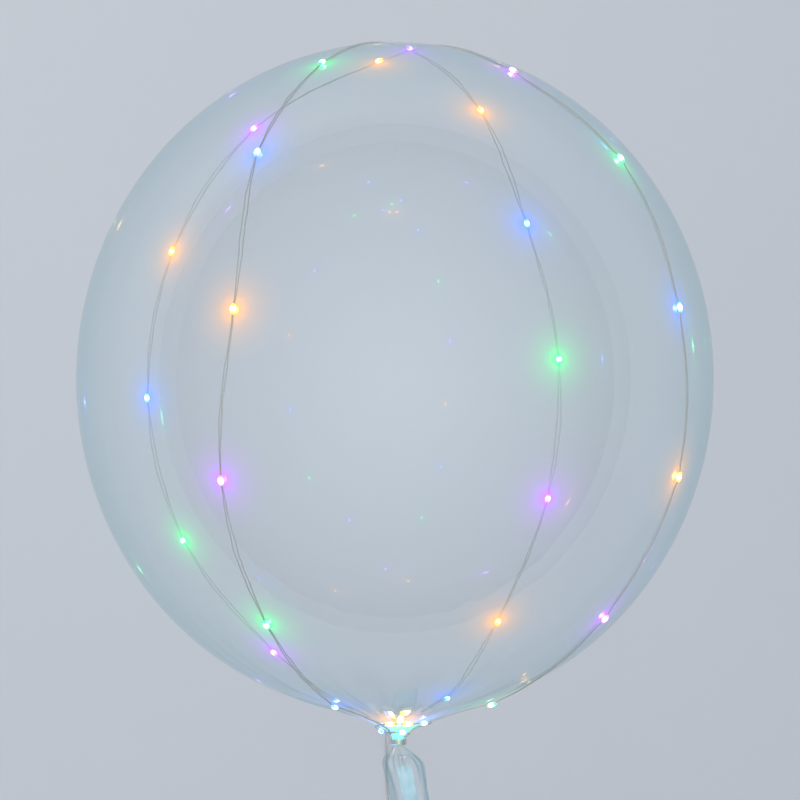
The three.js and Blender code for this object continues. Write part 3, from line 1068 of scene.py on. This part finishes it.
@dataclass
class Lead:
    """The string's lead: from the knot down to the floor, into a coil, and to the battery case.

    The routes' points and the coil's sizes are the model's own, in millimetres.
    """

    route: tuple[tuple[float, float, float], ...] = (
        (-1.8, -206, 216.6),
        (-2.2, -206.1, 210),
        (-3.4, -206.6, 196),
        (-5, -207.6, 168),
        (-6.2, -208.8, 130),
        (-7, -210, 90),
        (-7.3, -211.2, 55),
        (-7.3, -213, 30),
        (-7.3, -217, 13),
        (-7.3, -225, 3.8),
        (-7.3, -236, 0.9),
        (-7.3, -248, 0.62),
        (-6.9, -262, 0.62),
        (-5.2, -276, 0.62),
        (-3.2, -283.6, 0.62),
    )
    end_route: tuple[tuple[float, float, float], ...] = (
        (-2.2, -294.3, 2.3),
        (-2.3, -296.4, 2.5),
        (-2.8, -298.6, 2.9),
        (-3.3, -300.7, 3.25),
        (-3.5, -302.8, 3.4),
    )
    coil_centre: tuple[float, float] = (-8.9, -289.5)
    coil_radius: float = 5.7 * MM
    bundle: float = 1.65 * MM
    wind: float = 1.12 * MM
    turns: int = 5
    diameter: float = 1.0 * MM

    def coil(self) -> Array:
        """Wind the coil's turns clockwise from its east side.

        A turn lies at a place on a small circle round the bundle's middle, and each turn moves
        it on by a sixth of that circle, so that turns lie beside each other.
        """
        swing = np.linspace(0, 2 * math.pi * self.turns, 48 * self.turns)
        roll = -math.radians(30) - swing / 6
        radius = self.coil_radius + self.wind * np.cos(roll)
        return np.stack([
            self.coil_centre[0] * MM + radius * np.cos(-swing),
            self.coil_centre[1] * MM + radius * np.sin(-swing),
            self.bundle + self.wind * np.sin(roll),
        ], -1)

    def line(self) -> Array:
        """Join the route, the coil and the end into one smooth centreline."""
        coil = self.coil()
        points = np.concatenate([np.array(self.route) * MM, coil, np.array(self.end_route) * MM])
        smooth, _ = smooth_line(points, 1500)
        return smooth

    def build(self, material: bpy.types.Material, on_lead: Sequence[bpy.types.Object]) -> bpy.types.Object:
        """Args:
            material: its finish.
            on_lead: the pieces on it; not used.

        Returns:
            The piece.
        """
        line = self.line()
        tangents = unit(np.gradient(line, axis=0))
        run = run_length(line)
        turn = ease(run, 0.235, 0.262)[:, None]
        across = unit((1 - turn) * np.array([1.0, 0.0, 0.0]) + turn * np.array([0.0, 0.0, 1.0]))
        side = unit(across - tangents * np.einsum("ij,ij->i", across, tangents)[:, None])
        up = np.cross(tangents, side)
        surface = tube(line, side, up, self.diameter / 2, self.diameter / 2, 10)
        piece = make_piece("lead", surface, material)
        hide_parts("lead_wire", "lead_coil", "lead_wire_end")
        log.info("lead: %.3f m", run[-1])
        return piece

    def tie(self, material: bpy.types.Material) -> bpy.types.Object:
        """Build the band that holds the coil's turns together, on the coil's west side."""
        turn = np.linspace(0, 2 * math.pi, 28, endpoint=False)
        reach = self.bundle + 0.25 * MM
        x, y = np.array(self.coil_centre) * MM
        centre = np.array([x - self.coil_radius, y, self.bundle])
        ring = np.stack([np.cos(turn), 0 * turn, np.sin(turn)], -1)
        widths = np.array([-1.1, -1.1, 1.1, 1.1]) * MM
        radii = np.array([reach - 0.3 * MM, reach, reach, reach - 0.3 * MM])
        along = np.array([0, 1, 0]) * widths[:, None, None]
        places = centre + ring[None, :, :] * radii[:, None, None] + along
        rings = np.concatenate([places, places[:1]])
        surface = closed_grid(rings)
        used = (len(rings) - 1) * len(turn)
        surface.quads = surface.quads % used
        surface.tris = surface.tris[:0]
        surface.points = surface.points[:used]
        surface.points[:, 2] = np.maximum(surface.points[:, 2], 0.05 * MM)
        piece = make_piece("coil_tie", surface, material)
        return piece


# ------------------------------------------------------------------ studio


@dataclass
class Studio:
    """The camera that looks down on the balloon, the floor and the soft lights."""

    form: BubbleForm
    distance: float = 2.6
    view_width: float = 0.56639
    aim: tuple[float, float] = (3.54 * MM, -14.87 * MM)
    sensor: float = 36.0

    def camera(self) -> None:
        """Set the camera over the balloon, looking straight down with the crown at the top."""
        data = bpy.data.cameras.new("view")
        data.sensor_width = self.sensor
        data.lens = self.sensor * self.distance / self.view_width
        data.clip_end = 50.0
        camera = bpy.data.objects.new("view", data)
        x, y, z = self.form.centre
        camera.location = (x + self.aim[0], y + self.aim[1], z + self.distance)
        bpy.context.scene.collection.objects.link(camera)
        bpy.context.scene.camera = camera

    def floor(self, finish: FloorFinish) -> None:
        """Lay the floor just under the balloon."""
        half, drop = 12.0, 0.3 * MM
        mesh = bpy.data.meshes.new("floor")
        corners = [(-half, -half, -drop), (half, -half, -drop), (half, half, -drop), (-half, half, -drop)]
        mesh.from_pydata(corners, [], [(0, 1, 2, 3)])
        mesh.materials.append(finish.material())
        floor = bpy.data.objects.new("floor", mesh)
        bpy.context.scene.collection.objects.link(floor)

    def softbox(self, name: str, place: Colour, size: float, power: float, colour: Colour) -> None:
        """Hang a square soft light that faces the balloon."""
        data = bpy.data.lights.new(name, "AREA")
        data.shape = "SQUARE"
        data.size = size
        data.energy = power
        data.color = colour
        lamp = bpy.data.objects.new(name, data)
        lamp.location = place
        lamp.rotation_euler = Vector(np.array(place) - self.form.centre).to_track_quat("Z", "Y").to_euler()
        lamp.visible_glossy = False
        lamp.visible_transmission = False
        bpy.context.scene.collection.objects.link(lamp)

    def world(self, stops: Sequence[tuple[float, Colour]], strength: float) -> None:
        """Fill the room with a soft light that runs from the horizon's colour to the ceiling's."""
        world = bpy.data.worlds.new("room")
        world.use_nodes = True
        nodes, links = world.node_tree.nodes, world.node_tree.links
        direction = nodes.new("ShaderNodeTexCoord")
        split = nodes.new("ShaderNodeSeparateXYZ")
        ramp = nodes.new("ShaderNodeValToRGB")
        ShaderGraph.fill_ramp(ramp.color_ramp, stops)
        links.new(direction.outputs["Generated"], split.inputs[0])
        links.new(split.outputs["Z"], ramp.inputs[0])
        links.new(ramp.outputs[0], nodes["Background"].inputs["Color"])
        nodes["Background"].inputs["Strength"].default_value = strength
        bpy.context.scene.world = world


# ------------------------------------------------------------------ the whole balloon


def main() -> None:
    """Build the studio, give the battery case's parts their finishes, then build the lead, the lights and
    their wires, the film, the tail sleeve and the valve, in that order.
    """
    logging.basicConfig(level=logging.INFO, format="%(message)s")
    form = BubbleForm.from_model()
    log.info("bubble: centre %s, radius %.4f", form.centre.round(4), form.radius)

    studio = Studio(form)
    studio.camera()
    studio.floor(FloorFinish())
    studio.softbox("key", (-2.0, 1.8, 2.6), 2.0, 52.0, (1.0, 0.98, 0.95))
    horizon, wall, ceiling = (0.16, 0.19, 0.24), (0.42, 0.46, 0.52), (0.80, 0.84, 0.90)
    studio.world(((0.0, horizon), (0.35, wall), (1.0, ceiling)), 0.9)
    bpy.context.scene.view_settings.view_transform = "Standard"

    wire = WireFinish().material()
    white = PlasticFinish("case_plastic", (0.88, 0.89, 0.90), (0.82, 0.83, 0.85)).material()
    black = PlasticFinish("switch_plastic", (0.05, 0.05, 0.055), (0.03, 0.03, 0.035)).material()

    case_nodes = ("lead_gland", "battery_case", "battery_lid", "battery_switch")
    for node in case_nodes:
        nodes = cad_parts[node]
        nodes.data.materials.clear()
        nodes.data.materials.append(black if node == "battery_switch" else white)
    lead = Lead()
    tie = lead.tie(white)
    lead.build(wire, [tie, *(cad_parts[node] for node in case_nodes)])

    loops = [
        WireLoop(
            form, "wire_loop_a", -31.5, 0.0, "BGPYBGPYBGPYB",
            (
                (161.7, -0.9), (133.8, -0.2), (106.5, -0.2), (79.2, 3.1), (51, 0.1), (25.1, 0.1),
                (-7.7, -1.7), (-33.7, -0.8), (-60.3, -1.1), (-86.1, 1.8), (-112, 1.6),
                (-138.7, -0.6), (-164.5, 0.7),
            ),
            1,
        ),
        WireLoop(
            form, "wire_loop_b", 57.0, 1.3 * MM, "GPYBGPYPYBGP",
            (
                (163.8, 4.8), (133.7, 3.3), (106.4, 5.5), (78.4, 3.4), (50.8, 3.6), (27.1, -2.3),
                (-10.9, 11.1), (-38.9, 6.9), (-66.4, 3.8), (-93.2, 2.4), (-119.9, 3.5), (-147.2, 6.4),
            ),
            14,
        ),
    ]
    knot = Knot(form, 26)
    lamps = [lamp for loop in loops for lamp in loop.lamps()] + knot.lamps()
    resins = {colour: LampFinish(colour).material() for colour in LampColour}
    for lamp in lamps:
        lamp.build(resins)
    for seed, loop in enumerate(loops, start=3):
        loop.build(wire, seed)
    knot.build(wire)

    # Each lamp's place and hue, for the glow and tint painted into the film round it.
    glow = [(lamp.place, lamp.colour.hue) for lamp in lamps]
    BubbleFilm(form).build(FilmFinish(glow=1.1), glow)
    sleeve = TailSleeve(form)
    sleeve.build(FilmFinish(name="sleeve_film", edge_power=1.6, coat_roughness=0.05))
    ValveStrip(sleeve).build(ValveFinish())


if __name__ == "__main__":
    main()
